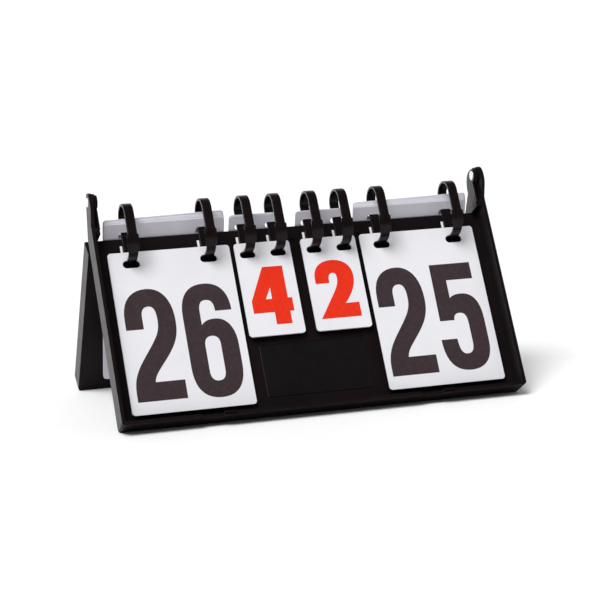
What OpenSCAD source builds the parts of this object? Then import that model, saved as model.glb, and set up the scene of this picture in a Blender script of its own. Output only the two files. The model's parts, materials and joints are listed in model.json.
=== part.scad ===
// Tabletop flip scoreboard: two hinged trays standing as an A-frame, eight
// oval rings and four stacks of numbered sheets. Millimetres, +Z up, the
// numbers face -Y, X = 0 and Y = 0 lie under the hinge line.

/* [Case] */
// Outside width of both trays
case_width = 385; // [360:5:420]
// Height of a tray plate, bottom edge to top edge
tray_height = 183.6; // [182:1:200]
// Side and bottom wall thickness
wall = 3.3; // [2.6:0.1:4]
// Plate thickness of both trays
plate = 1.8; // [1.4:0.1:2.4]
// Outside depth of the front tray
front_depth = 22.6; // [22.2:0.1:24]
// Outside depth of the rear tray
rear_depth = 19.2; // [17:0.2:20.4]
// Angle between the two trays when standing
stand_angle = 61; // [59:1:66]
// Radius of the outer tray corners
case_corner = 3; // [2:0.5:5]
// Top of the front side walls above the top edge of the front plate
wall_rise = 3.4; // [2:0.2:5]
// Top of the rear side walls below the top edge of the front plate
rear_wall_drop = 15.9; // [14:0.1:18]
// Top of the rear plate below the top edge of the front plate
rear_plate_drop = 38; // [30:1:44]
// Width of the plate strip left beside the opening of the rear plate
rear_strip = 7.7; // [6:0.1:10]

/* [Hinge] */
// Hinge line above the top edge of the front plate
hinge_rise = 30.1; // [28:0.5:36]
// Reach of a front ear ahead of the rim
ear_reach = 10.3; // [8:0.1:11]
// Reach of a front ear above its rivet
ear_top = 7.8; // [7:0.1:9]
// Widest point of a front ear below its rivet
ear_drop = 4.5; // [3:0.5:6]
// Length of a front ear's bulge ahead of the rim
ear_bulge = 23; // [20:1:26]
// Thickness of a front ear
ear_thick = 3.3; // [2.6:0.1:4]
// Radius of a rear ear around its rivet
rear_ear_radius = 7.6; // [6:0.2:8]
// Thickness of a rear ear
rear_ear_thick = 2.6; // [2.2:0.1:3]
// Length of a rear ear's narrow part
rear_ear_neck = 30; // [26:1:32]
// Height of the block that joins a rear ear to its wall
root_height = 16; // [12:1:20]
// Thickness of the strap inside a rear ear
strap_thick = 1.8; // [1.4:0.1:2.4]
// Front edge of the strap behind the rim
strap_front = 1.2; // [1:0.1:3]
// Width of the strap
strap_width = 16.7; // [14:0.1:17.4]
// Length of the strap's rounded shoulder below the rivet
strap_shoulder = 11; // [8:0.5:14]
// Front edge of the ledge that carries the strap
ledge_front = 3.5; // [3.4:0.1:5]
// Height of the ledge
ledge_height = 3.7; // [3.6:0.1:5]
// Rivet shank radius
rivet_radius = 2.5; // [2:0.1:3]
// Rivet head radius
head_radius = 4.7; // [4:0.1:5.5]
// Rivet head thickness
head_thick = 1.2; // [0.8:0.1:1.6]
// Radius of the dimple in a rivet head
dimple_radius = 0.9; // [0.6:0.1:1.2]
// Depth of the dimple in a rivet head
dimple_depth = 0.7; // [0.4:0.1:0.9]
// Running clearance of the rivet in the rear ear
rivet_clear = 0.05; // [0.03:0.01:0.1]
// Side clearance between turning faces
side_clear = 0.35; // [0.3:0.05:0.5]

/* [Sheets] */
// Gap between a big sheet and the side wall
side_gap = 10.45; // [10:0.05:12]
// Gap between a big sheet and the bottom wall
foot_gap = 8.4; // [6:0.2:12]
// Width of a small set sheet
small_width = 54; // [50:0.5:56]
// Gap between a small sheet and the label plate
label_gap = 7; // [5:0.5:10]
// Gap between a big and a small stack
pair_gap = 4.3; // [3:0.1:6]
// Gap between the two small stacks
middle_gap = 10.9; // [9:0.1:12]
// Thickness of one front sheet
sheet_thick = 0.4; // [0.3:0.05:0.5]
// Thickness of a waiting stack behind its front sheet
stack_thick = 1.4; // [1:0.1:2]
// Face of the front sheets behind the rim of the tray
sheet_depth = 14.4; // [13.6:0.1:15]
// Top edge of the sheets below the top edge of the plate
sheet_drop = 15.9; // [14:0.1:16.5]
// Corner radius of the sheets
sheet_corner = 3; // [2:0.5:5]
// Gap between a front sheet and its stack
stack_gap = 0.3; // [0.3:0.05:0.5]

/* [Slots] */
// Slot width in a big sheet
big_slot = 16.4; // [14:0.2:17]
// Slot height in a big sheet
big_slot_height = 7.6; // [6.8:0.1:8]
// Slot width in a small sheet
small_slot = 15.2; // [13:0.2:16]
// Slot height in a small sheet
small_slot_height = 6.9; // [6.4:0.1:7.4]
// Gap between the foot of a ring and the slot edge that hangs on it
hang_gap = 0.4; // [0.3:0.05:0.5]
// Centre of a slot from the side edge of a big sheet
big_slot_inset = 21; // [18:0.5:26]
// Centre of a slot from the side edge of a small sheet
small_slot_inset = 12.2; // [11:0.2:14]

/* [Rings] */
// Band width of a ring
ring_width = 8.9; // [7.5:0.1:10]
// Band thickness of a ring
ring_thick = 2.3; // [2:0.1:2.4]
// Front of a ring ahead of the sheets
ring_front = 24.4; // [24:0.1:25]
// Back of a ring behind the sheet face
ring_back = 6.1; // [5.6:0.1:6.2]
// Top of a ring above the sheets
ring_top = 43.6; // [42:0.2:45]
// Bottom of a ring below the top edge of the sheets
ring_bottom = 10.7; // [10.6:0.05:10.8]
// Width of the closing cheeks beside the band
cheek_width = 1.1; // [0.8:0.1:1.4]
// Height of the closing cheeks
cheek_height = 15; // [8:0.5:16]
// Foot of the closing cheeks below the top edge of the sheets
cheek_drop = 7; // [4:0.5:8]

/* [Turned sheets] */
// Height along the ring taken by a turned big stack
turned_big = 6.4; // [4:0.2:7]
// Height along the ring taken by the left turned small stack
turned_small_left = 1.4; // [0.8:0.1:3]
// Height along the ring taken by the right turned small stack
turned_small_right = 0.9; // [0.6:0.1:3]
// Lean of the turned sheets against the front plate
turned_lean = 44; // [43:0.5:46]

/* [Front details] */
// Width of the bare label plate
label_width = 101.6; // [80:1:105]
// Height of the bare label plate
label_height = 50; // [40:1:52]
// Thickness of the label plate
label_thick = 0.8; // [0.6:0.1:1.2]
// Depth of the label recess in the front plate
label_recess = 0.5; // [0.3:0.1:0.8]
// Bottom edge of the label plate above the bottom of the tray
label_rise = 18.2; // [14:0.2:22]
// Width of a catch hook on the bottom rim
hook_width = 10.4; // [8:0.2:12]
// Height of a catch hook above the rim
hook_height = 1.8; // [1.2:0.1:2.4]
// Width of a catch window in the bottom rim
window_width = 22; // [20:0.5:26]
// Depth of a catch window
window_depth = 4.5; // [3.5:0.1:6]
// Middle between the two catches of a side, from the middle of the case
catch_x = 104.4; // [98:0.2:110]
// Shift of a catch window from that middle
catch_shift = 5.5; // [4:0.5:7]
// Width of the light key beside the foot of a ring
key_width = 2.1; // [1.6:0.1:2.6]
// Height of that key
key_height = 8; // [6:0.5:9]
// Foot of that key above the top edge of the sheets
key_rise = 1; // [0.5:0.5:3]
// Key face ahead of the plate
key_proud = 0.5; // [0.2:0.1:0.8]
// Thickness of a ring clip beside the band
clip_thick = 2.4; // [1.8:0.1:3]
// Height of a ring clip
clip_height = 8.5; // [6:0.5:10]
// Foot of a ring clip above the top edge of the sheets
clip_rise = 2.5; // [2:0.5:4]
// Reach of the clip lip over the band
lip_reach = 1.6; // [1:0.1:2]
// Thickness of the clip lip
lip_thick = 1.2; // [0.8:0.1:1.6]
// Height of the clip lip
lip_height = 5.5; // [4:0.5:7]
// Radius of the studs on the front plate
stud_radius = 1.9; // [1.4:0.1:2.4]
// Height of the studs
stud_height = 2; // [1:0.2:3]
// Centre of the studs above the top edge of the sheets
stud_rise = 4.8; // [4:0.2:6]
// Outer studs from the outermost rings
stud_aside = 10.2; // [9:0.2:12]

/* [Hidden] */
$fn = 48;
half = stand_angle / 2;
plate_top = -hinge_rise;
sheet_top = plate_top - sheet_drop;
tray_bottom = plate_top - tray_height;
front_floor = front_depth - plate;
// the rear tray is longer by what its smaller depth would lift it
rear_bottom = tray_bottom - (front_depth - rear_depth) * tan(half);
hinge_z = -tray_bottom * cos(half) + front_depth * sin(half);
inner_half = case_width / 2 - wall;
front_ear_x = case_width / 2 - ear_thick;
rear_ear_x = front_ear_x - side_clear - rear_ear_thick;
strap_x = rear_ear_x - side_clear - strap_thick;
inner_head_x = strap_x - head_thick;
wall_top = plate_top + wall_rise;
strap_eye = head_radius + 1.6;
strap_neck = acos(strap_front / strap_eye);
rear_wall_top = plate_top - rear_wall_drop;
rear_plate_top = plate_top - rear_plate_drop;
big_width = inner_half - side_gap - middle_gap / 2 - small_width - pair_gap;
big_height = tray_height - sheet_drop - wall - foot_gap;
small_height = tray_height - sheet_drop - label_rise - label_height - label_gap;
big_slot_pitch = big_width - 2 * big_slot_inset;
small_slot_pitch = small_width - 2 * small_slot_inset;
small_x = middle_gap / 2 + small_width / 2;
big_x = middle_gap / 2 + small_width + pair_gap + big_width / 2;
ring_x = [
    -big_x - big_slot_pitch / 2,
    -big_x + big_slot_pitch / 2,
    -small_x - small_slot_pitch / 2,
    -small_x + small_slot_pitch / 2,
    small_x - small_slot_pitch / 2,
    small_x + small_slot_pitch / 2,
    big_x - big_slot_pitch / 2,
    big_x + big_slot_pitch / 2
];
// height of the slot edge that hangs on the ring, from the sheet's top edge
slot_drop = ring_bottom - ring_thick - hang_gap;
crown_y = -8.2;
crown_back = 10.6;
crown_front = 14.6;
foot_y = -6;
foot_z = 8;
heel_y = 0.5;
heel_z = -4;
arc_steps = 12;
turned_clear = 0.3;
fit_gap = 0.3;
key_gap = 0.1;
key_aside = ring_width / 2 + fit_gap + key_width;
clip_y = sheet_depth + ring_back - ring_thick - fit_gap;
lip_rise = clip_rise + (clip_height - lip_height) / 2;
stud_x = [
    ring_x[0] - stud_aside,
    (ring_x[1] + ring_x[2]) / 2,
    0,
    (ring_x[5] + ring_x[6]) / 2,
    ring_x[7] + stud_aside
];

// Placing: local X across, Y into the tray from its rim, Z up from the hinge
module in_front() {
    translate([0, 0, hinge_z])
        rotate([-half, 0, 0])
            children();
}

module in_rear() {
    translate([0, 0, hinge_z])
        rotate([half, 0, 0])
            mirror([0, 1, 0])
                children();
}

module both_sides() {
    children();
    mirror([1, 0, 0])
        children();
}

// A side profile drawn in Y and Z, given a width along X from x0
module side_plate(x0, width) {
    translate([x0, 0, 0])
        rotate([90, 0, 90])
            linear_extrude(height = width)
                children();
}

// A front outline drawn in X and Z, given a depth along Y from y0
module face_plate(y0, depth) {
    translate([0, y0 + depth, 0])
        rotate([90, 0, 0])
            linear_extrude(height = depth)
                children();
}

// Rectangle with its lower corners rounded
module tray_outline(width, low, high, r) {
    translate([-width / 2, low + r])
        square([width, high - low - r]);
    translate([-width / 2 + r, low])
        square([width - 2 * r, r + 0.01]);
    for (sx = [-1, 1])
        translate([sx * (width / 2 - r), low + r])
            circle(r = r);
}

// Rectangle with all corners rounded, its top edge at zero
module sheet_outline(width, height, r) {
    translate([-width / 2, -height + r])
        square([width, height - 2 * r]);
    translate([-width / 2 + r, -height])
        square([width - 2 * r, height]);
    for (sx = [-1, 1])
        for (z = [-r, -height + r])
            translate([sx * (width / 2 - r), z])
                circle(r = r);
}

module slot_outline(width, height) {
    square([width - height, height], center = true);
    for (sx = [-1, 1])
        translate([sx * (width - height) / 2, 0])
            circle(d = height);
}

// Points along an arc of an ellipse
function arc(cy, cz, ry, rz, a0, a1) = [
    for (i = [0:arc_steps])
        let (a = a0 + (a1 - a0) * i / arc_steps)
            [cy + ry * cos(a), cz + rz * sin(a)]
];

// Front ear: a round end ahead of the rim, widening down to the side wall
module front_ear_profile() {
    polygon(concat(
        [[0, wall_top], [front_depth, wall_top]],
        arc(-1.5, -ear_drop, ear_reach - 1.5, ear_top + ear_drop, 50, 215),
        [[0, -ear_bulge]]
    ));
}

// Rear ear: a narrow arm that widens at its root
module rear_ear_profile() {
    circle(r = rear_ear_radius);
    polygon([
        [-rear_ear_radius * cos(20), -rear_ear_radius * sin(20)],
        [rear_ear_radius * cos(28), rear_ear_radius * sin(28)],
        [rear_ear_radius + 0.4, -rear_ear_neck],
        [rear_depth - 3, rear_wall_top],
        [0.5, rear_wall_top]
    ]);
}

// Strap inside the rear ear, with the eye for the rivet at its front
module strap_profile() {
    polygon(concat(
        [[strap_front, wall_top]],
        arc(0, 0, strap_eye, strap_eye, -strap_neck, -270),
        arc(5, -strap_shoulder, strap_front + strap_width - 5, strap_eye + strap_shoulder, 90, 0),
        [[strap_front + strap_width, wall_top]]
    ));
}

// Trays
module tray_shell(depth, low, high, floor_high) {
    difference() {
        face_plate(0, depth)
            tray_outline(case_width, low, high, case_corner);
        face_plate(-1, depth - plate + 1)
            tray_outline(case_width - 2 * wall, low + wall, high + 1, case_corner / 2);
        translate([-inner_half, -1, floor_high])
            cube([2 * inner_half, depth + 2, high - floor_high + 1]);
    }
}

module front_clips() {
    for (x = ring_x) {
        // cheek beside the band and the lip that holds it on the plate
        translate([x + ring_width / 2 + fit_gap, clip_y, sheet_top + clip_rise])
            cube([clip_thick, front_floor - clip_y, clip_height]);
        translate([x + ring_width / 2 - lip_reach, clip_y - lip_thick, sheet_top + lip_rise])
            cube([lip_reach + fit_gap + clip_thick, lip_thick, lip_height]);
    }
}

module front_windows() {
    for (x = ring_x)
        translate([x - key_aside - key_gap, front_floor - 1, sheet_top + key_rise - key_gap])
            cube([key_width + 2 * key_gap, plate + 2, key_height + 2 * key_gap]);
}

// Studs in the middle, between the pairs of rings and outside them
module front_studs() {
    for (x = stud_x)
        translate([x, front_floor - stud_height, sheet_top + stud_rise])
            rotate([-90, 0, 0])
                cylinder(r = stud_radius, h = stud_height);
}

// Hook on the inner half of the bottom wall, to snap into the other window
module catch_hook(x, low) {
    translate([x - hook_width / 2, -hook_height, low + wall / 2])
        cube([hook_width, hook_height + 2, wall / 2]);
}

module catch_window(x, low) {
    translate([x - window_width / 2, -1, low - 1])
        cube([window_width, window_depth + 1, wall + 1.8]);
}

module front_tray() {
    color([0.06, 0.055, 0.06])
        in_front() {
            difference() {
                union() {
                    tray_shell(front_depth, tray_bottom, wall_top, plate_top);
                    front_clips();
                    front_studs();
                    both_sides() {
                        side_plate(front_ear_x, ear_thick)
                            front_ear_profile();
                        side_plate(strap_x, strap_thick)
                            strap_profile();
                        translate([strap_x, ledge_front, wall_top - ledge_height])
                            cube([inner_half - strap_x + 0.5, front_depth - ledge_front, ledge_height]);
                    }
                }
                front_windows();
                translate([-label_width / 2 - fit_gap, front_floor - 1, tray_bottom + label_rise - fit_gap])
                    cube([label_width + 2 * fit_gap, 1 + label_recess, label_height + 2 * fit_gap]);
                for (sx = [-1, 1])
                    catch_window(sx * catch_x - catch_shift, tray_bottom);
                rotate([0, 90, 0])
                    cylinder(r = rivet_radius, h = case_width + 2, center = true);
            }
            for (sx = [-1, 1])
                catch_hook(sx * catch_x - catch_shift + window_width / 2 + hook_width / 2, tray_bottom);
        }
}

module rear_tray() {
    color([0.09, 0.085, 0.09])
        in_rear() {
            difference() {
                union() {
                    difference() {
                        tray_shell(rear_depth, rear_bottom, rear_wall_top, rear_wall_top);
                        translate([-inner_half + rear_strip, -1, rear_plate_top])
                            cube([2 * (inner_half - rear_strip), rear_depth + 2, rear_plate_drop]);
                    }
                    both_sides() {
                        side_plate(rear_ear_x, rear_ear_thick)
                            rear_ear_profile();
                        translate([rear_ear_x, 0.5, rear_wall_top - root_height])
                            cube([inner_half - rear_ear_x + 0.5, rear_depth - 0.5 - plate / 2, root_height]);
                    }
                }
                for (sx = [-1, 1])
                    catch_window(sx * catch_x + catch_shift, rear_bottom);
                rotate([0, 90, 0])
                    cylinder(r = rivet_radius + rivet_clear, h = case_width + 2, center = true);
            }
            for (sx = [-1, 1])
                catch_hook(sx * catch_x + catch_shift - window_width / 2 - hook_width / 2, rear_bottom);
        }
}

// Hinge hardware
module hinge_rivets() {
    color([0.8, 0.8, 0.82])
        in_front()
            both_sides() {
                translate([inner_head_x + head_thick, 0, 0])
                    rotate([0, 90, 0])
                        cylinder(r = rivet_radius, h = case_width / 2 - inner_head_x - head_thick);
                translate([inner_head_x + head_thick, 0, 0])
                    rotate([0, -90, 0])
                        rivet_head();
                translate([case_width / 2, 0, 0])
                    rotate([0, 90, 0])
                        rivet_head();
            }
}

module rivet_head() {
    difference() {
        cylinder(r = head_radius, h = head_thick);
        translate([0, 0, head_thick - dimple_depth])
            cylinder(r = dimple_radius, h = dimple_depth + 1);
    }
}

// Light keys that fill the windows beside the rings
module ring_keys() {
    color([0.9, 0.9, 0.92])
        in_front()
            for (x = ring_x)
                translate([x - key_aside, front_floor - key_proud, sheet_top + key_rise])
                    cube([key_width, plate + key_proud, key_height]);
}

module label_plate() {
    color([0.1, 0.1, 0.11])
        in_front()
            translate([-label_width / 2, front_floor + label_recess - label_thick, tray_bottom + label_rise])
                cube([label_width, label_thick, label_height]);
}

// Rings: an oval loop of flat band, drawn inset by d from its outside
function ring_path(d) = concat(
    arc(crown_y, ring_top - crown_back, ring_back - crown_y - d, crown_back - d, 0, 90),
    arc(crown_y, ring_top - crown_front, ring_front + crown_y - d, crown_front - d, 90, 180),
    arc(foot_y, foot_z, ring_front + foot_y - d, ring_bottom + foot_z - d, 180, 270),
    arc(heel_y, heel_z, ring_back - heel_y - d, ring_bottom + heel_z - d, 270, 360)
);

module ring(i) {
    color([0.08, 0.075, 0.08])
        in_front()
            translate([ring_x[i - 1], sheet_depth, sheet_top]) {
                side_plate(-ring_width / 2, ring_width)
                    difference() {
                        polygon(ring_path(0));
                        polygon(ring_path(ring_thick));
                    }
                // closing cheeks on both sides of the front of the band
                side_plate(-ring_width / 2 - cheek_width, ring_width + 2 * cheek_width)
                    difference() {
                        intersection() {
                            polygon(ring_path(0));
                            translate([-ring_front - 1, -cheek_drop])
                                square([ring_front / 2, cheek_height]);
                        }
                        polygon(ring_path(ring_thick));
                    }
            }
}

// Sheets
module sheet_face(width, height, slot, slot_height, pitch) {
    difference() {
        sheet_outline(width, height, sheet_corner);
        for (sx = [-1, 1])
            translate([sx * pitch / 2, -slot_drop - slot_height / 2])
                slot_outline(slot, slot_height);
    }
}

module big_face() {
    sheet_face(big_width, big_height, big_slot, big_slot_height, big_slot_pitch);
}

module small_face() {
    sheet_face(small_width, small_height, small_slot, small_slot_height, small_slot_pitch);
}

module front_sheet(x) {
    color([0.95, 0.95, 0.96])
        in_front()
            translate([x, sheet_depth, sheet_top])
                face_plate(0, sheet_thick)
                    children();
}

module waiting_stack(x) {
    color([0.88, 0.88, 0.9])
        in_front()
            translate([x, sheet_depth + sheet_thick + stack_gap, sheet_top])
                face_plate(0, stack_thick)
                    children();
}

// Turned sheets lean over the top edge of the plate. The stack is sheared
// along the ring, so its slots stay on the straight back of the band.
hook_y = ring_back - ring_thick - turned_clear;
hook_reach = front_depth - sheet_depth - hook_y;
hook_z = sheet_drop + turned_clear + hook_reach * cos(turned_lean) / sin(turned_lean);

module turned_stack(x, width, height, slot, slot_height, pitch, rise) {
    reach_y = sin(turned_lean);
    reach_z = cos(turned_lean);
    top_y = hook_y - slot_drop * reach_y;
    top_z = hook_z + slot_drop * reach_z;
    color([0.8, 0.8, 0.83])
        in_front()
            translate([x, sheet_depth, sheet_top])
                difference() {
                    side_plate(-width / 2, width)
                        polygon([
                            [top_y, top_z],
                            [top_y + height * reach_y, top_z - height * reach_z],
                            [top_y + height * reach_y, top_z - height * reach_z + rise],
                            [top_y, top_z + rise]
                        ]);
                    for (sx = [-1, 1])
                        translate([sx * pitch / 2 - slot / 2, hook_y, 0])
                            cube([slot, slot_height * reach_y, ring_top]);
                }
}

module turned_big_stack(x) {
    turned_stack(x, big_width, big_height, big_slot, big_slot_height, big_slot_pitch, turned_big);
}

module turned_small_stack(x, rise) {
    turned_stack(x, small_width, small_height, small_slot, small_slot_height, small_slot_pitch, rise);
}

front_tray();
rear_tray();
hinge_rivets();
label_plate();
ring_keys();
ring(1);  // ring_1
ring(2);  // ring_2
ring(3);  // ring_3
ring(4);  // ring_4
ring(5);  // ring_5
ring(6);  // ring_6
ring(7);  // ring_7
ring(8);  // ring_8
front_sheet(-big_x) big_face();  // sheet_big_left
front_sheet(-small_x) small_face();  // sheet_small_left
front_sheet(small_x) small_face();  // sheet_small_right
front_sheet(big_x) big_face();  // sheet_big_right
waiting_stack(-big_x) big_face();  // stack_big_left
waiting_stack(-small_x) small_face();  // stack_small_left
waiting_stack(small_x) small_face();  // stack_small_right
waiting_stack(big_x) big_face();  // stack_big_right
turned_big_stack(-big_x);  // turned_big_left
turned_small_stack(-small_x, turned_small_left);  // turned_small_left_stack
turned_small_stack(small_x, turned_small_right);  // turned_small_right_stack
turned_big_stack(big_x);  // turned_big_right
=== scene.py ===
import json
import math
import bpy
import numpy as np
from mathutils import Matrix, Vector
from mathutils.geometry import tessellate_polygon


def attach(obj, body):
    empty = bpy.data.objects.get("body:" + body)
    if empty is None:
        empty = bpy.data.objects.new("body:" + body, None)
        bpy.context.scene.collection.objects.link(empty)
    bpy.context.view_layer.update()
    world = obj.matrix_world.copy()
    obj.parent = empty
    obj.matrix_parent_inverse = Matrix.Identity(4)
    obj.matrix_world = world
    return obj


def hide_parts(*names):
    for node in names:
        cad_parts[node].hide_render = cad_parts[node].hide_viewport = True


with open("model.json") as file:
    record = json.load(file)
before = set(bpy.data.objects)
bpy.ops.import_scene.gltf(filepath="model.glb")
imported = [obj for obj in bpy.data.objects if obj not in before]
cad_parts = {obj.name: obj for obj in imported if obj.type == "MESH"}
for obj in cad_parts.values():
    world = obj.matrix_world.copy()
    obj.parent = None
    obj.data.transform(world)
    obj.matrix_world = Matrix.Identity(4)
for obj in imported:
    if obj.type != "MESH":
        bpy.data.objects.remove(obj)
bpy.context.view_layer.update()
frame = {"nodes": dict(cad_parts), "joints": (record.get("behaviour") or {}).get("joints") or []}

print("frame loaded,", len(frame["nodes"]), "nodes")

# placing: every size below is in millimetres, in the front tray's own lie:
# x across, y into the tray from its rim, z up from the hinge line

caseHinge = next(j for j in frame["joints"] if j["name"] == "case_hinge")
stand = {
    "halfAngle": math.radians(30.5),  # lean of each tray
    "hingeHeight": caseHinge["pos_m"][2] * 1000,
    "trayDepth": 22.6,  # back of the front tray behind its rim
    "plateTop": -30.1,  # top edge of its plate under the hinge
    "sheetDepth": 14.4,  # face of the front sheets behind the rim
    "sheetDrop": 15.9,  # top edge of the sheets under that of the plate
}


def onFrontTray(points):
    # turned back by half the stand angle about x, lifted to the hinge, in metres
    x, y, z = np.asarray(points, float).reshape(-1, 3).T
    c, s = math.cos(stand["halfAngle"]), math.sin(stand["halfAngle"])
    return np.stack([x, y * c + z * s, stand["hingeHeight"] - y * s + z * c], axis=1) / 1000


def onSheetFace(points):
    # the same, counted from the sheets' face and top edge
    start = [0, stand["sheetDepth"], stand["plateTop"] - stand["sheetDrop"]]
    return onFrontTray(np.asarray(points, float).reshape(-1, 3) + start)


# mesh helpers

def makePiece(name, points, faces, body, material, replaces=()):
    mesh = bpy.data.meshes.new(name)
    mesh.from_pydata(points.tolist(), [], [list(f) for f in faces])
    mesh.update()
    piece = bpy.data.objects.new(name, mesh)
    bpy.context.scene.collection.objects.link(piece)
    piece.data.materials.append(material)
    if replaces:
        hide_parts(*replaces)
    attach(piece, body)
    return piece


def joinParts(parts):
    # several (points, faces) as one, each part's faces counted on from the last
    starts = np.cumsum([0] + [len(p) for p, _ in parts[:-1]])
    points = np.concatenate([p for p, _ in parts])
    faces = [[i + s for i in face] for (_, fs), s in zip(parts, starts) for face in fs]
    return points, faces


def gridFaces(rows, columns, closed):
    # four-sided faces between neighbouring rows of a grid: its columns join up
    # all round, its rows only where the form is closed that way too
    i, j = np.meshgrid(np.arange(rows if closed else rows - 1), np.arange(columns), indexing="ij")
    i, j = i.ravel(), j.ravel()
    here, above, beside = i * columns, (i + 1) % rows * columns, (j + 1) % columns
    return np.stack([here + j, here + beside, above + beside, above + j], axis=1)


def endCaps(rows, columns):
    # one flat face on the first row, turned over, and one on the last
    first, last = np.arange(columns)[::-1], np.arange(columns) + (rows - 1) * columns
    return [first.tolist(), last.tolist()]


def turnedLoop(loop, outside=True):
    # an outside runs counter-clockwise seen from the front, a hole clockwise
    x, z = loop[:, 0], loop[:, 1]
    area = np.sum(x * np.roll(z, -1) - np.roll(x, -1) * z)
    return loop if (area > 0) == outside else loop[::-1]


def slab(loops, near, far):
    # flat outlines with holes, given a thickness from y = near to y = far:
    # both faces are triangles between the loops, the edges are walls along them
    loops = [turnedLoop(np.asarray(loop, float), i == 0) for i, loop in enumerate(loops)]
    flat = np.concatenate(loops)
    n = len(flat)
    triangles = np.array(tessellate_polygon([[Vector((x, z, 0)) for x, z in loop] for loop in loops]))
    a, b, c = (flat[triangles[:, i]] for i in range(3))
    clockwise = np.cross(b - a, c - a) < 0
    triangles[clockwise] = triangles[clockwise][:, ::-1]
    points = np.zeros((2 * n, 3))
    points[:n, 0] = points[n:, 0] = flat[:, 0]
    points[:n, 2] = points[n:, 2] = flat[:, 1]
    points[:n, 1] = near
    points[n:, 1] = far
    walls = []
    start = 0
    for loop in loops:
        i = start + np.arange(len(loop))
        j = start + np.roll(np.arange(len(loop)), -1)
        walls.append(np.stack([i, i + n, j + n, j], axis=1))
        start += len(loop)
    faces = triangles.tolist() + (triangles[:, ::-1] + n).tolist() + np.concatenate(walls).tolist()
    return points, faces


def quarterTurn(cx, cz, radius, start, steps):
    # a quarter of a circle from the angle start, counter-clockwise
    t = np.radians(start + np.linspace(0, 90, steps))
    return np.stack([cx + radius * np.cos(t), cz + radius * np.sin(t)], axis=1)


# materials

def newMaterial(name, colour, roughness, metallic=0.0):
    material = bpy.data.materials.new(name)
    material.use_nodes = True
    nodes, links = material.node_tree.nodes, material.node_tree.links
    shader = nodes["Principled BSDF"]
    shader.inputs["Base Color"].default_value = (*colour, 1)
    shader.inputs["Roughness"].default_value = roughness
    shader.inputs["Metallic"].default_value = metallic
    place = nodes.new("ShaderNodeTexCoord")
    return material, nodes, links, shader, place.outputs["Object"]


def addNoise(nodes, links, place, scale, detail, stretch=None):
    if stretch:
        mapping = nodes.new("ShaderNodeMapping")
        mapping.inputs["Scale"].default_value = stretch
        links.new(place, mapping.inputs["Vector"])
        place = mapping.outputs["Vector"]
    noise = nodes.new("ShaderNodeTexNoise")
    noise.inputs["Scale"].default_value = scale
    noise.inputs["Detail"].default_value = detail
    links.new(place, noise.inputs["Vector"])
    return noise.outputs["Fac"]


def addRange(nodes, links, value, low, high, fromLow=0.3, fromHigh=0.7):
    spread = nodes.new("ShaderNodeMapRange")
    spread.inputs["From Min"].default_value = fromLow
    spread.inputs["From Max"].default_value = fromHigh
    spread.inputs["To Min"].default_value = low
    spread.inputs["To Max"].default_value = high
    links.new(value, spread.inputs["Value"])
    return spread.outputs["Result"]


def addTint(nodes, links, value, dark, light, low=0.35, high=0.65):
    ramp = nodes.new("ShaderNodeValToRGB")
    ramp.color_ramp.elements[0].position = low
    ramp.color_ramp.elements[0].color = (*dark, 1)
    ramp.color_ramp.elements[1].position = high
    ramp.color_ramp.elements[1].color = (*light, 1)
    links.new(value, ramp.inputs["Fac"])
    return ramp.outputs["Color"]


def addBump(nodes, links, shader, value, strength, distance):
    bump = nodes.new("ShaderNodeBump")
    bump.inputs["Strength"].default_value = strength
    bump.inputs["Distance"].default_value = distance
    links.new(value, bump.inputs["Height"])
    links.new(bump.outputs["Normal"], shader.inputs["Normal"])


def addPaintedSideSheen(nodes, links, low, high, fromLow, fromHigh):
    # painted sheen: high on faces that look sideways, low on those that look forward or up; it brightens
    # the sides in place of light falling on them
    texture = nodes.new("ShaderNodeTexCoord")
    split = nodes.new("ShaderNodeSeparateXYZ")
    links.new(texture.outputs["Normal"], split.inputs["Vector"])
    size = nodes.new("ShaderNodeMath")
    size.operation = "ABSOLUTE"
    links.new(split.outputs["X"], size.inputs[0])
    return addRange(nodes, links, size.outputs["Value"], low, high, fromLow, fromHigh)


mouldedPlastic = {
    "grain": 2200,  # spark-eroded grain, about half a millimetre
    "grainDetail": 2,
    "grainHeight": 0.00006,
    "cloud": 22,  # faint flow marks, a few centimetres
    "cloudDetail": 4,
    "scuff": 160,
    "scuffDetail": 6,
    "scuffStretch": (1, 1, 0.35),
    "paintedSheenFrom": (0.75, 0.97),  # how far sideways a face looks before it takes the painted side sheen, from its start to its full strength
    "case": {"dark": (0.0036, 0.0012, 0.0017), "light": (0.0052, 0.0022, 0.0028),
             "rough": (0.4, 0.5), "grainStrength": 0.2, "gloss": 0.1, "paintedSideSheen": 0.6},
    "ring": {"dark": (0.0036, 0.0014, 0.0019), "light": (0.0056, 0.0026, 0.0032),
             "rough": (0.22, 0.32), "grainStrength": 0.08, "gloss": 0.16, "paintedSideSheen": 0.7},
    "label": {"dark": (0.0036, 0.0022, 0.0026), "light": (0.0046, 0.0032, 0.0036),
              "rough": (0.3, 0.38), "grainStrength": 0.05, "gloss": 0.15},
    "key": {"dark": (0.8, 0.8, 0.82), "light": (0.86, 0.86, 0.87),
            "rough": (0.4, 0.5), "grainStrength": 0.1, "gloss": 0.5},
}


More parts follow.
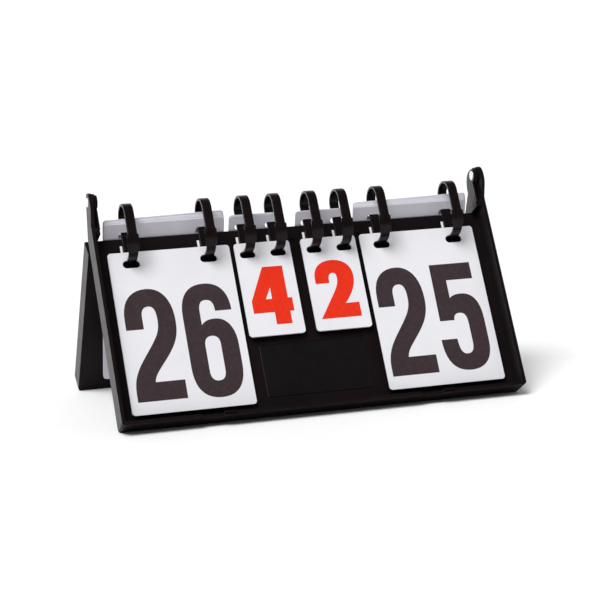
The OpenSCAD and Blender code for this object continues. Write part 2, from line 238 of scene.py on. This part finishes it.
def makePlastic(name, kind):
    look, m = mouldedPlastic[kind], mouldedPlastic
    material, nodes, links, shader, place = newMaterial(name, look["dark"], look["rough"][0])
    gloss = shader.inputs["Specular IOR Level"]
    gloss.default_value = look["gloss"]
    # faces looking sideways get a painted sheen: a raised gloss that stands in for the key light's glare
    # on the sides
    if "paintedSideSheen" in look:
        links.new(addPaintedSideSheen(nodes, links, look["gloss"], look["paintedSideSheen"], *m["paintedSheenFrom"]), gloss)
    cloud = addNoise(nodes, links, place, m["cloud"], m["cloudDetail"])
    links.new(addTint(nodes, links, cloud, look["dark"], look["light"]), shader.inputs["Base Color"])
    scuff = addNoise(nodes, links, place, m["scuff"], m["scuffDetail"], m["scuffStretch"])
    links.new(addRange(nodes, links, scuff, *look["rough"]), shader.inputs["Roughness"])
    grain = addNoise(nodes, links, place, m["grain"], m["grainDetail"])
    addBump(nodes, links, shader, grain, look["grainStrength"], m["grainHeight"])
    return material


sheetStock = {
    "front": {"white": (0.72, 0.715, 0.745), "shade": (0.69, 0.685, 0.72)},
    # the turned sheets' tints: the front sheets' paper darkened and greyed as painted shade, for the shade
    # they hang in behind the plate
    "paintedShade": {"white": (0.62, 0.60, 0.66), "shade": (0.56, 0.545, 0.60)},
    "rough": (0.42, 0.55),
    "cloud": 30, "cloudDetail": 3,
    "wear": 90, "wearDetail": 5,
    "fibre": 900, "fibreDetail": 4, "fibreStretch": (1, 1, 0.3),
    "fibreStrength": 0.12, "fibreHeight": 0.00005,
}


def makeSheetStock(name, kind):
    tints, s = sheetStock[kind], sheetStock
    material, nodes, links, shader, place = newMaterial(name, tints["white"], s["rough"][0])
    cloud = addNoise(nodes, links, place, s["cloud"], s["cloudDetail"])
    links.new(addTint(nodes, links, cloud, tints["shade"], tints["white"]), shader.inputs["Base Color"])
    worn = addNoise(nodes, links, place, s["wear"], s["wearDetail"])
    links.new(addRange(nodes, links, worn, *s["rough"]), shader.inputs["Roughness"])
    fibre = addNoise(nodes, links, place, s["fibre"], s["fibreDetail"], s["fibreStretch"])
    addBump(nodes, links, shader, fibre, s["fibreStrength"], s["fibreHeight"])
    return material


printInk = {
    "black": {"full": (0.036, 0.024, 0.027), "thin": (0.045, 0.031, 0.034)},
    "red": {"full": (0.68, 0.024, 0.007), "thin": (0.72, 0.032, 0.010)},
    "gloss": 0.15,
    "rough": (0.34, 0.46),
    "cloud": 260, "cloudDetail": 5, "cloudFrom": (0.4, 0.75),
    "wear": 90, "wearDetail": 4,
}


def makeInk(name, kind):
    tints, k = printInk[kind], printInk
    material, nodes, links, shader, place = newMaterial(name, tints["full"], k["rough"][0])
    shader.inputs["Specular IOR Level"].default_value = k["gloss"]
    cloud = addNoise(nodes, links, place, k["cloud"], k["cloudDetail"])
    tint = addTint(nodes, links, cloud, tints["full"], tints["thin"], *k["cloudFrom"])
    links.new(tint, shader.inputs["Base Color"])
    worn = addNoise(nodes, links, place, k["wear"], k["wearDetail"])
    links.new(addRange(nodes, links, worn, *k["rough"]), shader.inputs["Roughness"])
    return material


rivetStock = {
    "colour": (0.95, 0.95, 0.95), "metallic": 0.5, "rough": (0.4, 0.55),
    "wear": 700, "wearDetail": 4, "wearStrength": 0.1, "wearHeight": 0.00004,
}


def makeRivetMetal(name):
    r = rivetStock
    material, nodes, links, shader, place = newMaterial(name, r["colour"], r["rough"][0], r["metallic"])
    worn = addNoise(nodes, links, place, r["wear"], r["wearDetail"])
    links.new(addRange(nodes, links, worn, *r["rough"]), shader.inputs["Roughness"])
    addBump(nodes, links, shader, worn, r["wearStrength"], r["wearHeight"])
    return material


casePlastic = makePlastic("casePlastic", "case")
ringPlastic = makePlastic("ringPlastic", "ring")
labelPlastic = makePlastic("labelPlastic", "label")
keyPlastic = makePlastic("keyPlastic", "key")
rivetMetal = makeRivetMetal("rivetMetal")
frontStock = makeSheetStock("frontStock", "front")
paintedShadeStock = makeSheetStock("paintedShadeStock", "paintedShade")
blackInk = makeInk("blackInk", "black")
redInk = makeInk("redInk", "red")
print("materials made")


# case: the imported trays, with the small rounding of a moulded edge

caseEdges = {"weld": 0.00001, "round": 0.00035, "segments": 2, "angle": math.radians(40)}


def coatNode(node, material):
    piece = frame["nodes"][node]
    piece.data.materials.clear()
    piece.data.materials.append(material)
    return piece


def finishTray(node, material):
    tray = coatNode(node, material)
    weld = tray.modifiers.new("weld", "WELD")
    weld.merge_threshold = caseEdges["weld"]
    edge = tray.modifiers.new("roundedEdges", "BEVEL")
    edge.width = caseEdges["round"]
    edge.segments = caseEdges["segments"]
    edge.limit_method = "ANGLE"
    edge.angle_limit = caseEdges["angle"]


finishTray("front_tray", casePlastic)
finishTray("rear_tray", casePlastic)
finishTray("label_plate", labelPlastic)
finishTray("ring_keys", keyPlastic)
print("trays finished")


# rivets: at each side one shank with two dished heads, turned from one profile

rivet = {
    "shank": 2.5, "head": 4.5, "proud": 0.5, "edgeRise": 0.325, "edgeWidth": 0.5,
    "eye": 0.9, "eyeFloor": 0.72, "eyeDepth": 0.7, "axisGap": 0.01,
    "outerFace": 192.5, "innerFace": 184.1, "steps": 40, "edgeSteps": 9,
}


def rivetProfile():
    # half of it runs from the eye of the outer head over a quarter ellipse to the
    # shank, the other half is its mirror image about the middle of the shank
    r = rivet
    top = r["outerFace"] + r["proud"]
    floorX = top - r["eyeDepth"]
    t = np.radians(np.linspace(0, 90, r["edgeSteps"]))
    edgeX = top - r["edgeRise"] * (1 - np.cos(t))
    edgeRadius = r["head"] - r["edgeWidth"] * (1 - np.sin(t))
    outer = np.concatenate([
        [[floorX, r["axisGap"]], [floorX, r["eyeFloor"]], [top, r["eye"]]],
        np.stack([edgeX, edgeRadius], axis=1),
        [[r["outerFace"], r["head"]], [r["outerFace"], r["shank"]]],
    ])
    inner = outer[::-1] * [-1, 1] + [r["outerFace"] + r["innerFace"], 0]
    return np.concatenate([outer, inner])


def turnedPiece(profile, steps, side):
    # a profile of (along x, radius) turned once round the hinge line
    t = np.linspace(0, 2 * math.pi, steps, endpoint=False)
    x = np.repeat(profile[:, :1], steps, axis=1) * side
    y = profile[:, 1:] * np.cos(t)
    z = profile[:, 1:] * np.sin(t)
    faces = gridFaces(len(profile), steps, False).tolist() + endCaps(len(profile), steps)
    if side > 0:
        faces = [f[::-1] for f in faces]
    return np.stack([x, y, z], axis=2).reshape(-1, 3), faces


points, faces = joinParts([turnedPiece(rivetProfile(), rivet["steps"], side) for side in (-1, 1)])
makePiece("hingeRivets", onFrontTray(points), faces, "front", rivetMetal, ["hinge_rivets"])
print("rivets turned")


# where the sheets hang: two kinds of sheet in four stacks

bigSheet = {"width": 115.0, "height": 156.0, "slotWidth": 16.4, "slotHeight": 7.6, "pitch": 73.0}
smallSheet = {"width": 54.0, "height": 92.5, "slotWidth": 15.2, "slotHeight": 6.9, "pitch": 29.6}
stacks = {  # "askew" is how many degrees the last sheet of a turned stack hangs askew
    "big_left": {
        "kind": bigSheet, "centre": -121.25, "ink": blackInk, "turnedNode": "turned_big_left",
        "turned": 7, "rise": 6.4, "askew": 1.1},
    "small_left": {
        "kind": smallSheet, "centre": -32.45, "ink": redInk, "turnedNode": "turned_small_left_stack",
        "turned": 2, "rise": 1.4, "askew": 0.0},
    "small_right": {
        "kind": smallSheet, "centre": 32.45, "ink": redInk, "turnedNode": "turned_small_right_stack",
        "turned": 1, "rise": 0.9, "askew": 0.0},
    "big_right": {
        "kind": bigSheet, "centre": 121.25, "ink": blackInk, "turnedNode": "turned_big_right",
        "turned": 7, "rise": 6.4, "askew": 1.1},
}


# rings: a flat band carried round an oval of four quarter ellipses and the straights
# between them

ring = {
    "width": 8.9, "thick": 2.3, "front": 24.4, "back": 6.1, "top": 43.6, "bottom": 10.7,
    "crown": 8.2, "crownBack": 10.6, "crownFront": 14.6,  # the top: its place and both heights
    "toe": 6.0, "toeRise": 8.0, "heel": 0.5, "heelDrop": 4.0,  # centres of the two lower quarters
    "bevel": 0.55, "bevelSteps": 4, "steps": 28, "closest": 0.001,
}
cheek = {"proud": 1.1, "lap": 0.7, "bevel": 0.3, "inset": 0.15, "turn": 53.0, "steps": 12}


def ringOvals():
    # centre and half axes of the four quarters, and the angle each starts at
    r = ring
    return [
        (-r["crown"], r["top"] - r["crownBack"], r["back"] + r["crown"], r["crownBack"], 0),
        (-r["crown"], r["top"] - r["crownFront"], r["front"] - r["crown"], r["crownFront"], 90),
        (-r["toe"], r["toeRise"], r["front"] - r["toe"], r["bottom"] + r["toeRise"], 180),
        (r["heel"], -r["heelDrop"], r["back"] - r["heel"], r["bottom"] - r["heelDrop"], 270),
    ]


def carried(loop, oval, angles):
    # a cross-section of (sideways, inset) stood square to the oval at each angle:
    # y = centre + (half axis - inset) * cosine, z the same with the sine
    cy, cz, ry, rz, start = oval
    t = np.radians(start + angles)[:, None]
    y = cy + (ry - loop[:, 1]) * np.cos(t)
    z = cz + (rz - loop[:, 1]) * np.sin(t)
    return np.stack([np.broadcast_to(loop[:, 0], y.shape), y, z], axis=2)


def bandLoop():
    # the band's cross-section, its four corners quarter circles
    w, d = ring["width"] / 2 - ring["bevel"], ring["thick"] - ring["bevel"]
    corners = [(w, d, 0), (-w, d, 90), (-w, ring["bevel"], 180), (w, ring["bevel"], 270)]
    return np.concatenate([quarterTurn(x, y, ring["bevel"], a, ring["bevelSteps"]) for x, y, a in corners])


def ringBand():
    # the four quarters in turn; where one ends as the next begins, that row is kept once
    angles = np.linspace(0, 90, ring["steps"])
    rows = np.concatenate([carried(bandLoop(), oval, angles) for oval in ringOvals()])
    step = np.abs(rows - np.roll(rows, 1, axis=0)).max(axis=(1, 2))
    rows = rows[step > ring["closest"]]
    faces = gridFaces(*rows.shape[:2], True)[:, [0, 3, 2, 1]]
    return rows.reshape(-1, 3), faces.tolist()


def cheekBlock(side):
    # a tab beside the front of the band, carried along the start of its lower
    # front quarter, with two cut corners
    c = cheek
    near, far, thick = ring["width"] / 2 - c["lap"], ring["width"] / 2 + c["proud"], ring["thick"]
    loop = np.array([
        [near, c["inset"]], [far - c["bevel"], c["inset"]], [far, c["bevel"] + c["inset"]],
        [far, thick - c["bevel"]], [far - c["bevel"], thick], [near, thick],
    ]) * [side, 1]
    rows = carried(loop, ringOvals()[2], np.linspace(c["turn"], 0, c["steps"]))
    m, n = rows.shape[:2]
    faces = gridFaces(m, n, False).tolist() + endCaps(m, n)
    if side < 0:
        faces = [f[::-1] for f in faces]
    return rows.reshape(-1, 3), faces


ringCentres = [e["centre"] + side * e["kind"]["pitch"] / 2 for e in stacks.values() for side in (-1, 1)]
for number, centre in enumerate(ringCentres, 1):
    points, faces = joinParts([ringBand(), cheekBlock(-1), cheekBlock(1)])
    places = onSheetFace(points + [centre, 0, 0])
    makePiece("ring" + str(number), places, faces, "front", ringPlastic, ["ring_" + str(number)])
print("rings carried round")


# sheets: thin slabs with two slots, and the stacks of them

cut = {"corner": 3.0, "cornerSteps": 7, "slotDrop": 8.0, "slotSteps": 6}
waiting = {"sheets": 4, "near": 0.7, "thick": 1.4, "sheet": 0.72, "shift": 0.25, "trim": 0.25}
turned = {
    "lean": math.radians(44), "clear": 0.3, "sheet": 0.84, "shift": 0.35, "trim": 0.3, "slotTrim": 2.6,
}


def roundedOutline(width, height, radius):
    # a rectangle hanging from z = 0, its corners quarter circles
    w, low, steps = width / 2 - radius, radius - height, cut["cornerSteps"]
    corners = [(w, -radius, 0), (-w, -radius, 90), (-w, low, 180), (w, low, 270)]
    return np.concatenate([quarterTurn(x, z, radius, angle, steps) for x, z, angle in corners])


def slotOutline(cx, cz, width, height):
    # two half circles joined by straight edges
    w, r, steps = (width - height) / 2, height / 2, cut["slotSteps"]
    return np.concatenate([
        quarterTurn(cx + w, cz, r, -90, steps),
        quarterTurn(cx + w, cz, r, 0, steps)[1:],
        quarterTurn(cx - w, cz, r, 90, steps),
        quarterTurn(cx - w, cz, r, 180, steps)[1:],
    ])


def sheetLoops(kind, trim, slotTrim=0.0):
    # one sheet's outline and its two slots, trimmed so that stacked sheets keep apart
    slotHeight = -cut["slotDrop"] - kind["slotHeight"] / 2
    slotWidth = kind["slotWidth"] - slotTrim
    outline = roundedOutline(kind["width"] - 2 * trim, kind["height"] - trim, cut["corner"])
    half = kind["pitch"] / 2
    return [outline] + [slotOutline(x, slotHeight, slotWidth, kind["slotHeight"]) for x in (-half, half)]


def waitingStack(entry, seed):
    # equal slabs one behind the other, each shifted a little sideways and down
    rng = np.random.default_rng(seed)
    step = waiting["thick"] / waiting["sheets"]
    parts = []
    for k in range(waiting["sheets"]):
        near = waiting["near"] + k * step
        loops = sheetLoops(entry["kind"], waiting["trim"])
        points, faces = slab(loops, near, near + step * waiting["sheet"])
        shift = rng.uniform(-1, 1, 2) * waiting["shift"]
        parts.append((points + [entry["centre"] + shift[0], 0, -abs(shift[1])], faces))
    return joinParts(parts)


def turnedStack(entry, seed):
    # slabs leaning over the plate's top edge: down the sheet is down the lean,
    # each next one lies a step higher up the ring and hangs a little more
    # askew, its angle growing with the square of its place in the stack
    rng = np.random.default_rng(seed)
    count = entry["turned"]
    step = entry["rise"] / count
    lean, clear = turned["lean"], turned["clear"]
    hookY = ring["back"] - ring["thick"] - clear
    plateBack = stand["trayDepth"] - stand["sheetDepth"]
    hookZ = stand["sheetDrop"] + clear + (plateBack - hookY) / math.tan(lean)
    topY = hookY - cut["slotDrop"] * math.sin(lean)
    topZ = hookZ + cut["slotDrop"] * math.cos(lean)
    parts = []
    for k in range(count):
        flat, faces = slab(sheetLoops(entry["kind"], turned["trim"], turned["slotTrim"]), 0, 1)
        askew = math.radians(entry["askew"]) * (k / max(count - 1, 1)) ** 2
        down = -flat[:, 2] * math.cos(askew) - flat[:, 0] * math.sin(askew)
        across = flat[:, 0] * math.cos(askew) - flat[:, 2] * math.sin(askew)
        lift = step * (k + (1 - flat[:, 1]) * turned["sheet"])
        shift = rng.uniform(-1, 1, 2) * turned["shift"]
        along = down + shift[1]
        points = np.stack([
            across + shift[0] + entry["centre"],
            topY + along * math.sin(lean),
            topZ - along * math.cos(lean) + lift,
        ], axis=1)
        parts.append((points, [f[::-1] for f in faces]))
    return joinParts(parts)


for seed, (name, entry) in enumerate(stacks.items()):
    coatNode("sheet_" + name, frontStock)
    points, faces = waitingStack(entry, seed + 11)
    makePiece("waiting_" + name, onSheetFace(points), faces, "front", frontStock, ["stack_" + name])
    points, faces = turnedStack(entry, seed + 31)
    places = onSheetFace(points)
    # the turned sheets take the darkened copy of the paper, painted shade
    makePiece("turned_" + name, places, faces, "front", paintedShadeStock, [entry["turnedNode"]])
print("sheets stacked")


# numbers: outlines of straight and cubic pieces, down from the digit's top left
# corner, printed as thin slabs; a loop after the first one is a hole

glyphs = {
    "2": [[
        (0.3, -38.6), (16.6, -38.6), (16.6, -27), (16.6, -20.5, 19, -17.2, 23.8, -17.2),
        (28.4, -17.2, 30.4, -21.5, 30.4, -31), (30.4, -41, 27.4, -46, 20.8, -55.5),
        (8.5, -72.5, 0.7, -81, 0.7, -98.5), (0.7, -107.2), (46.6, -107.2), (46.6, -89.5), (19.6, -89.5),
        (20.2, -83.5, 24.5, -79, 32.6, -69), (43.5, -55.5, 47, -47.5, 47, -33),
        (47, -12, 38, 0, 24.2, 0), (8.8, 0, 0.3, -10.5, 0.3, -28),
    ]],
    "6": [[
        (31.2, -27.4), (46.8, -27.4), (46.8, -9, 38.5, 0, 24.3, 0), (8.5, 0, 0.3, -10.5, 0.3, -30),
        (0.3, -80), (0.3, -100, 8.5, -110.2, 24.2, -110.2), (40, -110.2, 48, -100, 48, -80.5),
        (48, -62), (48, -44, 40.5, -34.8, 30, -34.8), (23.5, -34.8, 19.2, -36.8, 16.7, -40.2),
        (16.7, -27), (16.7, -19.5, 19, -16.2, 24, -16.2), (29, -16.2, 31.2, -19.5, 31.2, -27.4),
    ], [
        (24.1, -51.2), (19.2, -51.2, 16.7, -54.5, 16.7, -60), (16.7, -84),
        (16.7, -91, 19.2, -94.2, 24, -94.2), (29, -94.2, 31.3, -91, 31.3, -84), (31.3, -60),
        (31.3, -54.5, 29, -51.2, 24.1, -51.2),
    ]],
    "5": [[
        (3, 0), (44, 0), (44, -16.6), (17.2, -16.6), (17.2, -34.5), (19.8, -32.2, 24, -31, 29.3, -31),
        (40.5, -31, 47, -40, 47, -58), (47, -80), (47, -98, 38.5, -107.3, 23.6, -107.3),
        (8.5, -107.3, 0, -98, 0, -75.5), (16, -75.5), (16.2, -86, 18, -91, 23.4, -91),
        (28.6, -91, 30.6, -87, 30.6, -80), (30.6, -62), (30.6, -53.5, 28.6, -50.2, 23.6, -50.2),
        (19.5, -50.2, 17.2, -52.5, 17.2, -57), (2.6, -57),
    ]],
    "7": [[
        (0, 0), (46, 0), (46, -14), (34, -48, 28.5, -75, 27.5, -107.3), (10, -107.3),
        (11.5, -73, 18, -46, 28.8, -17.4), (0, -17.4),
    ]],
    "small4": [[
        (15.8, 0), (35.2, 0), (35.2, -32), (39.2, -32), (39.2, -45.2), (35.2, -45.2), (35.2, -57.4),
        (20.2, -57.4), (20.2, -45.2), (0.2, -45.2), (0.2, -33),
    ], [
        (19.9, -20.6), (19.9, -32), (14, -32),
    ]],
    "small2": [[
        (0.6, -22.8), (14, -22.8), (14, -20.5), (14, -15.5, 15.5, -12.9, 18.6, -12.9),
        (21.2, -12.9, 22.2, -15, 22.2, -18), (22.2, -22.5, 21, -25.5, 17.8, -31), (0, -57.8),
        (39.3, -57.8), (39.3, -43.8), (26.2, -43.8), (33.5, -35.5, 38.6, -27, 38.6, -17.5),
        (38.6, -6.5, 31.5, 0, 19.8, 0), (7.5, 0, 0.6, -7, 0.6, -17.5),
    ]],
    "small3": [[
        (0.6, -19.5), (13.4, -19.5), (13.4, -15, 15, -12.6, 18.4, -12.6),
        (21.6, -12.6, 23, -14.4, 23, -17.6), (23, -21, 21.4, -22.6, 17.6, -22.6), (14.6, -22.6),
        (14.6, -33.6), (17.6, -33.6), (21.8, -33.6, 23.6, -35.6, 23.6, -39.4),
        (23.6, -43.4, 22, -45.4, 18.6, -45.4), (15, -45.4, 13.4, -43, 13.4, -37.6), (0.2, -37.6),
        (0.2, -51, 6.6, -58, 18.8, -58), (31.6, -58, 38.8, -51.4, 38.8, -40.6),
        (38.8, -33.8, 35.8, -29.6, 30.6, -27.8), (35.4, -26.2, 38, -22.2, 38, -16.4),
        (38, -6, 31, 0, 19, 0), (7.2, 0, 0.6, -6.8, 0.6, -17.5),
    ]],
    "small5": [[
        (2.4, 0), (36.8, 0), (36.8, -12.4), (16.2, -12.4), (16.2, -19.6),
        (18.6, -18.4, 21.4, -17.8, 24.4, -17.8), (34, -17.8, 39.2, -24.4, 39.2, -36),
        (39.2, -50.4, 32, -58, 19.4, -58), (7, -58, 0, -51.6, 0, -40.4), (13.6, -40.4),
        (13.6, -44, 15.6, -46.2, 19, -46.2), (22.8, -46.2, 24.6, -43.4, 24.6, -37.4),
        (24.6, -31.6, 22.8, -29.2, 19, -29.2), (16.2, -29.2, 14.6, -30.4, 14.4, -32.8), (2.4, -32.8),
    ]],
}
numbers = {
    "thick": 0.05, "sunk": 0.005, "curveSteps": 10, "closest": 0.02,
    "front": {
        "big_left": [("2", -51.5, -37.0), ("6", 2.35, -36.4)],
        "small_left": [("small4", -19.4, -25.0)],
        "small_right": [("small2", -20.5, -23.5)],
        "big_right": [("2", -52.4, -36.4), ("5", 2.6, -37.0)],
    },
    "next": {
        "big_left": [("2", -51.5, -37.0), ("7", 3.2, -37.0)],
        "small_left": [("small5", -19.4, -24.2)],
        "small_right": [("small3", -19.8, -23.5)],
        "big_right": [("2", -52.4, -36.4), ("6", 2.35, -36.4)],
    },
}


def glyphLoop(path):
    # a corner is kept as it is, a cubic piece is worked out from its two handles
    t = np.linspace(0, 1, numbers["curveSteps"] + 1)[1:, None]
    loop = [np.array([path[0]], float)]
    for step in path[1:]:
        step = np.asarray(step, float).reshape(-1, 2)
        if len(step) == 1:
            loop.append(step)
            continue
        start, (first, second, end) = loop[-1][-1], step
        outward = (1 - t) ** 3 * start + 3 * (1 - t) ** 2 * t * first
        loop.append(outward + 3 * (1 - t) * t ** 2 * second + t ** 3 * end)
    loop = np.concatenate(loop)
    apart = np.linalg.norm(loop - np.roll(loop, 1, axis=0), axis=1) > numbers["closest"]
    return loop[apart]


def printedNumber(digits, face):
    # the print stands proud of the sheet's face and is sunk a hair into it
    parts = []
    for glyph, x, top in digits:
        loops = [glyphLoop(path) + [x, top] for path in glyphs[glyph]]
        parts.append(slab(loops, face - numbers["thick"], face + numbers["sunk"]))
    return joinParts(parts)


for name, entry in stacks.items():
    centre = [entry["centre"], 0, 0]
    points, faces = printedNumber(numbers["front"][name], 0)
    places = onSheetFace(points + centre)
    makePiece("number_" + name, places, faces, name, entry["ink"])
    points, faces = printedNumber(numbers["next"][name], waiting["near"])
    places = onSheetFace(points + centre)
    makePiece("nextNumber_" + name, places, faces, "front", entry["ink"])
print("numbers printed")


# floor: a pale sheet that runs back and sweeps up, in metres

floorSweep = {
    "halfWidth": 9.0, "front": -6.0, "bendFrom": 5.0, "bendRadius": 2.5, "wallTop": 8.0, "steps": 24,
    "shade": (0.94, 0.94, 0.94), "white": (0.955, 0.955, 0.955), "rough": 0.7,
    "cloud": 3, "cloudDetail": 2,
}


def floorSurface():
    # flat to the bend, a quarter circle, then straight up
    f = floorSweep
    t = np.linspace(0, math.pi / 2, f["steps"])
    wall = f["bendFrom"] + f["bendRadius"]
    y = np.concatenate([[f["front"]], f["bendFrom"] + f["bendRadius"] * np.sin(t), [wall]])
    z = np.concatenate([[0], f["bendRadius"] * (1 - np.cos(t)), [f["wallTop"]]])
    x = np.array([-f["halfWidth"], f["halfWidth"]])
    points = np.stack([np.tile(x, len(y)), np.repeat(y, 2), np.repeat(z, 2)], axis=1)
    i = np.arange(len(y) - 1) * 2
    return points, np.stack([i, i + 1, i + 3, i + 2], axis=1)


def makeFloorPaint():
    f = floorSweep
    material, nodes, links, shader, place = newMaterial("floorPaint", f["white"], f["rough"])
    cloud = addNoise(nodes, links, place, f["cloud"], f["cloudDetail"])
    links.new(addTint(nodes, links, cloud, f["shade"], f["white"]), shader.inputs["Base Color"])
    return material


points, faces = floorSurface()
floorMesh = bpy.data.meshes.new("floor")
floorMesh.from_pydata(points.tolist(), [], faces.tolist())
floor = bpy.data.objects.new("floor", floorMesh)
bpy.context.scene.collection.objects.link(floor)
floor.data.materials.append(makeFloorPaint())
floor.data.polygons.foreach_set("use_smooth", [True] * len(floor.data.polygons))


# light: one broad key from the left, a weak fill, a dim room above, in metres

lights = {
    "target": (0, 0, 0.08),
    "key": {"from": (-1.8, -1.6, 3.7), "strength": 3.2, "angle": math.radians(34)},
    "fill": {"from": (2.4, -1.2, 1.6), "power": 6.0, "size": 1.6},
    "room": (0.21, 0.21, 0.215),
}


def placeLight(name, data, start):
    light = bpy.data.objects.new(name, data)
    bpy.context.scene.collection.objects.link(light)
    away = Vector(lights["target"]) - Vector(start)
    light.matrix_world = Matrix.Translation(start) @ away.to_track_quat("-Z", "Y").to_matrix().to_4x4()


keyData = bpy.data.lights.new("key", "SUN")
keyData.energy = lights["key"]["strength"]
keyData.angle = lights["key"]["angle"]
placeLight("key", keyData, lights["key"]["from"])
fillData = bpy.data.lights.new("fill", "AREA")
fillData.energy = lights["fill"]["power"]
fillData.size = lights["fill"]["size"]
placeLight("fill", fillData, lights["fill"]["from"])
room = bpy.data.worlds.new("room")
room.use_nodes = True
room.node_tree.nodes["Background"].inputs["Color"].default_value = (*lights["room"], 1)
bpy.context.scene.world = room
bpy.context.scene.view_settings.view_transform = "Standard"


# camera: found once from the corners of the sheets and the case in the picture

cameraFit = {
    "place": (-0.541891, -1.790026, 0.432671),  # metres
    "turn": (79.57849, 1.77648, -17.38123),  # degrees about x, y and z
    "focalPixels": 2005.24, "framePixels": 600, "sensor": 36, "clip": (0.05, 60),
}

cameraData = bpy.data.cameras.new("camera")
cameraData.sensor_width = cameraFit["sensor"]
cameraData.lens = cameraFit["focalPixels"] * cameraFit["sensor"] / cameraFit["framePixels"]
cameraData.clip_start, cameraData.clip_end = cameraFit["clip"]
camera = bpy.data.objects.new("camera", cameraData)
bpy.context.scene.collection.objects.link(camera)
camera.location = cameraFit["place"]
camera.rotation_euler = [math.radians(angle) for angle in cameraFit["turn"]]
bpy.context.scene.camera = camera
print("floor, light and camera set")
